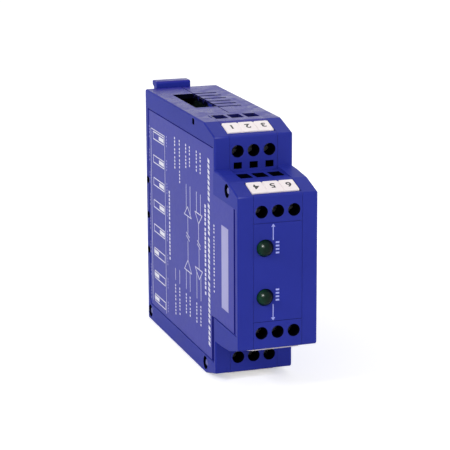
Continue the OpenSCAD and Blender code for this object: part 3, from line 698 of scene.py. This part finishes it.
# %% Board and parts
SWITCHES = 8
board_green, board_tree, board_shader = new_material("board_green")
set_sockets(board_shader, Roughness=0.3)
tracks = add_node(board_tree, "TexBrick", Scale=200, Mortar_Size=0.012, Brick_Width=2.6,
                  Row_Height=0.3, Color1=screen(5, 17, 13), Color2=screen(4, 15, 11),
                  Mortar=screen(10, 30, 21))
quarter_turn = (0, math.radians(90), 0)
feed(board_tree, object_place(board_tree, Rotation=quarter_turn), tracks, "Vector")
feed(board_tree, tracks.outputs["Color"], board_shader, "Base Color")
add_bump(board_tree, board_shader, tracks.outputs["Fac"], strength=0.3, depth=0.05)
dress("main_board", board_green)
for part in ("power_converters", "optocouplers", "line_drivers", "surge_diodes",
             "chip_resistors", "input_choke", "voltage_regulator"):
    dress(part, part_black)
can_sleeve = moulded_plastic("can_sleeve", screen(34, 36, 48), screen(28, 29, 40), roughness=0.3,
                             grain=900)
dress("electrolytic_capacitors", can_sleeve)
for block in ("switch_block_rear", "switch_block_front"):
    rounded_piece(block, switch_dark, radius=0.1)
for number in range(SWITCHES):
    dress("switch_lever_" + str(number + 1), lever_grey)
print("board dressed in", board_green.name)

# %% [markdown]
# ## The foil on the side
#
# The label is a polyester foil that fills the recess, a lighter and more purple blue than
# the housing. Foil over plastic shows a soft orange peel, a wider pattern than the moulded
# grain, so its noise is coarser. The inks are fine grained, because they are thin films.

# %% Foil and inks
INK_GRAIN = 4000
label_foil = moulded_plastic("label_foil", screen(46, 50, 155), screen(42, 46, 149),
                             roughness=0.4, specular=0.09, grain=700, relief=0.04)
dress("side_label", label_foil)


def ink(name, colour, shade, roughness=0.5, specular=0.5):
    """A finish for print."""
    return moulded_plastic(name, colour, shade, roughness, specular=specular, grain=INK_GRAIN)


ink_white = ink("ink_white", screen(226, 226, 234), screen(214, 214, 226))
ink_pale = ink("ink_pale", screen(158, 156, 204), screen(150, 148, 198))
ink_faint = ink("ink_faint", screen(150, 148, 205), screen(142, 140, 200))
ink_soft = ink("ink_soft", screen(166, 172, 236), screen(158, 164, 230), specular=0.1)
# A dull deep blue for painted shade along the foil's edges.
ink_painted_shade = ink("ink_painted_shade", screen(18, 20, 106), screen(16, 18, 100), roughness=0.8, specular=0.02)
ink_grey = ink("ink_grey", screen(46, 44, 48), screen(36, 35, 38))
label_low, label_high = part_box("side_label")
LABEL_X = label_low.x / MM
LABEL_FRONT = label_low.y / MM
LABEL_BACK = label_high.y / MM
LABEL_TOP = label_high.z / MM
print("label's outer face at x =", round(LABEL_X, 2), "mm")

# %% [markdown]
# ## Print on the foil
#
# Print is a film of ink a few hundredths of a millimetre thick. It could be painted with
# nodes, but flat strokes as real shapes stay sharp at any distance and can be placed by
# number. Each stroke is a thin box made by create_cube, and all strokes of one picture or
# pattern become one piece. Places are depth (y) and height (z) on the side face.

# %% Strokes of ink on the side
INK = 0.02


def ink_box(mesh, centre, turn, size):
    """A thin box of ink, turned about its centre. Centre and size are in mm."""
    place = Matrix.Translation(centre * MM) @ turn @ Matrix.Diagonal((*(size * MM), 1))
    bmesh.ops.create_cube(mesh, size=1, matrix=place)


def side_box(mesh, y_range, z_range):
    """A thin box of ink on the side face, between two depths and two heights."""
    centre = Vector((LABEL_X, sum(y_range) / 2, sum(z_range) / 2))
    size = Vector((2 * INK, abs(y_range[1] - y_range[0]), abs(z_range[1] - z_range[0])))
    ink_box(mesh, centre, Matrix.Identity(4), size)


def side_stroke(mesh, start, end, width):
    """A straight stroke between two points (depth, height)."""
    along = Vector((0, end[0] - start[0], end[1] - start[1]))
    centre = Vector((LABEL_X, (start[0] + end[0]) / 2, (start[1] + end[1]) / 2))
    turn = Matrix.Rotation(math.atan2(along.z, along.y), 4, "X")
    ink_box(mesh, centre, turn, Vector((2 * INK, along.length + width, width)))


def side_outline(mesh, points, width):
    """A closed line of strokes through points (depth, height)."""
    for index, point in enumerate(points):
        side_stroke(mesh, point, points[(index + 1) % len(points)], width)


def ink_piece(name, mesh, finish):
    """Makes a finished piece of a mesh of ink and lets it ride on the housing."""
    piece = new_piece(name, mesh, (finish,))
    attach(piece, "housing")
    return piece


print("ink thickness above the foil in mm:", INK)

# %% [markdown]
# The eight switch pictures stand in a column near the back: an outlined slot between two
# long thin lines, with a solid block where the lever is. The first five levers are at the
# front end of their slots and the last three at the back end.

# %% Switch pictures
SYMBOL_HEIGHTS = (24.1, 16.1, 8.4, 0.8, -7.6, -15.8, -23.8, -32.0)
SLOT_HALF = 1.2
SLOT_BACK = -8.4
SLOT_FRONT = -20.6
SLOT_LINE = 0.32
LEVER_HALF = 0.65
LEVER_AT_FRONT = (-14.9, -20.2)
LEVER_AT_BACK = (-7.9, -13.3)
LEVERS_AT_FRONT = 5
BACK_LINE = -5.8
BACK_LINE_END = -33.6
FRONT_LINE = -21.6
FRONT_LINE_END = -34.2
LINES_TOP = 26.0
LONG_LINE = 0.22
CROSS_LINE = 0.25
pictures = bmesh.new()
side_stroke(pictures, (BACK_LINE, LINES_TOP), (BACK_LINE, BACK_LINE_END), LONG_LINE)
side_stroke(pictures, (FRONT_LINE, LINES_TOP), (FRONT_LINE, FRONT_LINE_END), LONG_LINE)
side_stroke(pictures, (BACK_LINE, LINES_TOP), (FRONT_LINE, LINES_TOP), CROSS_LINE)
for number, height in enumerate(SYMBOL_HEIGHTS):
    high = height + SLOT_HALF
    low = height - SLOT_HALF
    slot_corners = [(SLOT_BACK, high), (SLOT_FRONT, high), (SLOT_FRONT, low), (SLOT_BACK, low)]
    side_outline(pictures, slot_corners, SLOT_LINE)
    lever = LEVER_AT_FRONT if number < LEVERS_AT_FRONT else LEVER_AT_BACK
    side_box(pictures, lever, (height - LEVER_HALF, height + LEVER_HALF))
ink_piece("print_switch_pictures", pictures, ink_white)
print("switch pictures:", len(SYMBOL_HEIGHTS))

# %% [markdown]
# The circuit picture in the middle shows two signal paths: a buffer triangle at each end
# of each path and a double slash where the isolation breaks it. The paths are upright lines,
# given by their depth and the heights of their two ends.

# %% Circuit picture
CIRCUIT_LINE = 0.28
SLASH_TOP = -0.7
SLASH_DROP = 1.1
SLASH_HALF = 1.5
circuit = bmesh.new()
for depth, high, low in ((-44.9, 14.9, 6.8), (-49.0, 14.9, 5.8), (-55.6, 14.7, 8.2),
                         (-59.7, 14.6, 8.2), (-46.4, 4.9, -0.6), (-46.3, -3.3, -9.6),
                         (-57.6, 5.0, -0.6), (-57.9, -3.1, -9.7), (-44.2, -13.2, -19.5),
                         (-48.3, -13.2, -19.4), (-55.4, -11.2, -19.6), (-59.6, -11.4, -19.4),
                         (-32.4, -15.9, -19.6), (-37.0, -15.4, -19.8)):
    side_stroke(circuit, (depth, high), (depth, low), CIRCUIT_LINE)
for triangle in (((-46.2, 7.9), (-42.7, 4.9), (-50.1, 4.9)),
                 ((-54.0, 8.2), (-61.2, 8.2), (-57.7, 5.0)),
                 ((-46.2, -9.6), (-42.4, -13.2), (-50.0, -13.2)),
                 ((-53.8, -9.7), (-61.3, -9.7), (-58.0, -12.9))):
    side_outline(circuit, triangle, CIRCUIT_LINE)
for path_depth in (-46.4, -57.7):
    for high in (SLASH_TOP, SLASH_TOP - SLASH_DROP):
        side_stroke(circuit, (path_depth + SLASH_HALF, high),
                    (path_depth - SLASH_HALF, high - SLASH_DROP), CIRCUIT_LINE)
ink_piece("print_circuit", circuit, ink_white)
print("circuit picture made")

# %% [markdown]
# Rows of short dashes run down the foil, with a wider gap after each group, and give it an
# even texture. The dashes of the widest row are larger and lean a little, so a dash is a
# cube that a sheared matrix puts in place.

# %% Helpers for dashes
def side_dash(mesh, depth, height, width, length, lean):
    """A dash of ink on the side face. Its front end stands lower by the lean."""
    place = Matrix(((2 * INK, 0, 0, LABEL_X),
                    (0, width, 0, depth),
                    (0, lean, length, height),
                    (0, 0, 0, 1)))
    bmesh.ops.create_cube(mesh, size=1, matrix=Matrix.Scale(MM, 4) @ place)


def dash_row(mesh, depth, high, low, groups, width, dash, gap, lean=0.0):
    """Dashes from one height down to another. Groups are the counts of dashes in a row."""
    top = high
    number = 0
    while top - dash >= low:
        for step in range(groups[number % len(groups)]):
            if top - dash >= low:
                side_dash(mesh, depth, top - dash / 2, width, dash, lean)
                top -= dash + gap
        top -= gap
        number += 1


print("thickness of a dash in mm, half of it in the foil:", round(2 * INK, 2))

# %% [markdown]
# Short rows stand above and below the circuit picture. One longer row stands behind it and
# three stand before it, with the widest in the middle. Beside each switch picture stand a
# few fainter dashes.

# %% Dashes on the foil
SMALL = {"width": 0.8, "dash": 0.7, "gap": 0.4}
FAINT = {"width": 0.5, "dash": 0.6, "gap": 0.4}
UPPER_ROWS_TOP = 27.9
LOWER_ROWS_TOP = -21.2
NOTE_HALF = 2.4
small_dashes = bmesh.new()
for depth, low, groups in ((-32.9, 16.8, (3, 2, 4)), (-38.0, 13.1, (2, 3, 3, 4)),
                           (-44.8, 18.8, (3, 4)), (-48.7, 20.7, (3, 3)),
                           (-55.8, 20.3, (4, 3)), (-59.7, 20.9, (3, 3))):
    dash_row(small_dashes, depth, UPPER_ROWS_TOP, low, groups, **SMALL)
for depth, low, groups in ((-32.3, -33.0, (3, 2, 4)), (-36.9, -30.8, (3, 4)),
                           (-44.0, -29.1, (3, 3)), (-48.1, -28.5, (3, 3)),
                           (-55.1, -28.9, (4, 3)), (-59.3, -28.8, (3, 3))):
    dash_row(small_dashes, depth, LOWER_ROWS_TOP, low, groups, **SMALL)
dash_row(small_dashes, -26.3, 8.8, -14.4, (8, 3, 6, 4), width=1.1, dash=0.9, gap=0.35)
dash_row(small_dashes, -64.4, 12.7, -16.9, (5, 9), width=1.3, dash=1.0, gap=0.4)
dash_row(small_dashes, -73.0, 8.3, -13.4, (3, 9, 3), width=0.8, dash=0.6, gap=0.45)
ink_piece("print_small_dashes", small_dashes, ink_white)
side_notes = bmesh.new()
for height in SYMBOL_HEIGHTS:
    for depth, groups in ((-3.9, (3,)), (-23.7, (4,))):
        dash_row(side_notes, depth, height + NOTE_HALF, height - NOTE_HALF, groups, **FAINT)
ink_piece("print_side_notes", side_notes, ink_faint)
wide_dashes = bmesh.new()
dash_row(wide_dashes, -68.0, 27.7, -32.5, (8, 6, 8, 8), width=1.7, dash=1.2, gap=0.5, lean=0.5)
ink_piece("print_title_dashes", wide_dashes, ink_white)
print("dashes made")

# %% [markdown]
# A plain paler field stands near the front of the foil. Three thin deep blue bands follow
# the foil's edges: one near the front, one at the step below and one along the top. They are
# painted shade, the shadow that the recess's edges throw on the foil, drawn as ink in a dull
# finish because the mesh of the foil is flat there.

# %% Fields of ink
FIELD_DEPTHS = (-80.2, -86.6)
FIELD_HEIGHTS = (-15.8, 10.0)
field = bmesh.new()
side_box(field, FIELD_DEPTHS, FIELD_HEIGHTS)
ink_piece("print_field", field, ink_pale)
# Painted shade: dark bands where the recess's edges throw shadow on the foil.
painted_recess_shade = bmesh.new()
side_box(painted_recess_shade, (LABEL_FRONT + 1.4, LABEL_FRONT + 2.8), (-20.8, 17.5))
side_box(painted_recess_shade, (-72.9, -70.3), (-35.4, -21.1))
side_box(painted_recess_shade, (LABEL_BACK - 0.2, -72.8), (LABEL_TOP - 0.4, LABEL_TOP - 0.05))
ink_piece("print_painted_recess_shade", painted_recess_shade, ink_painted_shade)
print("fields made")

# %% [markdown]
# ## Print on the panel
#
# Beside each lamp an arrow points away from the middle, and four short dashes stand nearer
# to the middle. This print has a fault that is left: it lies in the plane where the CAD box
# ends in front. That is at the tips of the lamps, 2.15 mm before the panel's face, so the
# print hangs in the air. It belongs on the face, 0.78 mm further to the right and 0.63 mm
# lower, which looks the same from the camera's place.

# %% Arrows beside the lamps
LAMP_TIPS_Y = cad_box[0][1] / MM
ARROW_X = -2.25
ARROW_MIDDLE = MIDDLE_HEIGHT + 0.6
ARROW_START = 9.9
ARROW_TIP = 14.7
ARROW_LINE = 0.26
HEAD_HALF = 0.65
HEAD_LENGTH = 0.9
DASHES_X = (-1.2, -0.6)
DASHES_TOP = (8.0, -6.4)
DASH_COUNT = 4
DASH_STEP = 1.05
DASH_LINE = 0.5


def panel_stroke(mesh, start, end, width):
    """A straight stroke of ink before the panel, between two points (width, height)."""
    along = Vector((end[0] - start[0], 0, end[1] - start[1]))
    centre = Vector(((start[0] + end[0]) / 2, LAMP_TIPS_Y, (start[1] + end[1]) / 2))
    turn = Matrix.Rotation(-math.atan2(along.z, along.x), 4, "Y")
    ink_box(mesh, centre, turn, Vector((along.length + width, 2 * INK, width)))


arrows = bmesh.new()
for side in (-1, 1):
    tip = ARROW_MIDDLE + side * ARROW_TIP
    base = tip - side * HEAD_LENGTH
    start = ARROW_MIDDLE + side * ARROW_START
    panel_stroke(arrows, (ARROW_X, start), (ARROW_X, base), ARROW_LINE)
    ends = [(ARROW_X, tip), (ARROW_X - side * HEAD_HALF, base), (ARROW_X + side * HEAD_HALF, base)]
    corners = [arrows.verts.new(Vector((x, LAMP_TIPS_Y - INK, z)) * MM) for x, z in ends]
    arrows.faces.new(corners)
ink_piece("print_arrows", arrows, ink_soft)
panel_dashes = bmesh.new()
for top in DASHES_TOP:
    for step in range(DASH_COUNT):
        height = top - DASH_STEP * step
        panel_stroke(panel_dashes, (DASHES_X[0], height), (DASHES_X[1], height), DASH_LINE)
ink_piece("print_panel_words", panel_dashes, ink_soft)
print("arrows made")

# %% [markdown]
# ## Numbers on the tags
#
# Each tag carries a plain dark number, a little above the tag's middle and upside down to
# the viewer, because the strips are read from above. A text object is turned into a
# mesh first, and then its place is applied to the mesh.

# %% Numbers on the marker tags
TAGS = 3
TAG_PITCH = 5.08
TAG_RISE = 0.5
TAG_PROUD = 0.3
NUMBER_SIZE = 3.6
NUMBER_WEIGHT = 0.09
REAR_SLOPE = ((-64.1, 38.3), (-74.4, 35.5))
FRONT_SLOPE = ((-87.0, 24.35), (-95.9, 21.75))


def number_mesh(text):
    """A flat number as mesh data, centred on its own origin, in metres."""
    curve = bpy.data.curves.new("number " + text, "FONT")
    curve.body = text
    curve.size = NUMBER_SIZE * MM
    curve.extrude = INK * MM
    curve.offset = NUMBER_WEIGHT * MM
    curve.align_x = "CENTER"
    curve.align_y = "CENTER"
    maker = bpy.data.objects.new("number " + text, curve)
    bpy.context.scene.collection.objects.link(maker)
    bpy.context.view_layer.update()
    made = maker.evaluated_get(bpy.context.evaluated_depsgraph_get())
    data = bpy.data.meshes.new_from_object(made)
    bpy.data.objects.remove(maker)
    return data


def strip_numbers(name, slope, first, lower):
    """The numbers of one strip, on a slope of the upper side given by two points (y, z).

    The numbers of a lower strip are turned about the housing's middle to the underside.
    """
    start = Vector((0, *slope[0]))
    end = Vector((0, *slope[1]))
    down = (end - start).normalized()
    outward = Vector((0, down.z, -down.y))
    middle = (start + end) / 2 + outward * TAG_PROUD - down * TAG_RISE
    turn = Matrix((Vector((-1, 0, 0)), down, outward)).transposed().to_4x4()
    mesh = bmesh.new()
    for index in range(TAGS):
        data = number_mesh(str(first + index))
        centre = middle + Vector(((index - (TAGS - 1) / 2) * TAG_PITCH, 0, 0))
        data.transform(Matrix.Translation(centre * MM) @ turn)
        mesh.from_mesh(data)
        bpy.data.meshes.remove(data)
    if lower:
        axis = Matrix.Translation((0, 0, MIDDLE_HEIGHT * MM))
        half_turn = axis @ Matrix.Rotation(math.pi, 4, "Y") @ axis.inverted()
        bmesh.ops.transform(mesh, matrix=half_turn, verts=mesh.verts)
    return ink_piece(name, mesh, ink_grey)


strip_numbers("numbers_rear_upper", REAR_SLOPE, 1, lower=False)
strip_numbers("numbers_front_upper", FRONT_SLOPE, 4, lower=False)
strip_numbers("numbers_front_lower", FRONT_SLOPE, 7, lower=True)
strip_numbers("numbers_rear_lower", REAR_SLOPE, 10, lower=True)
print("numbers made")
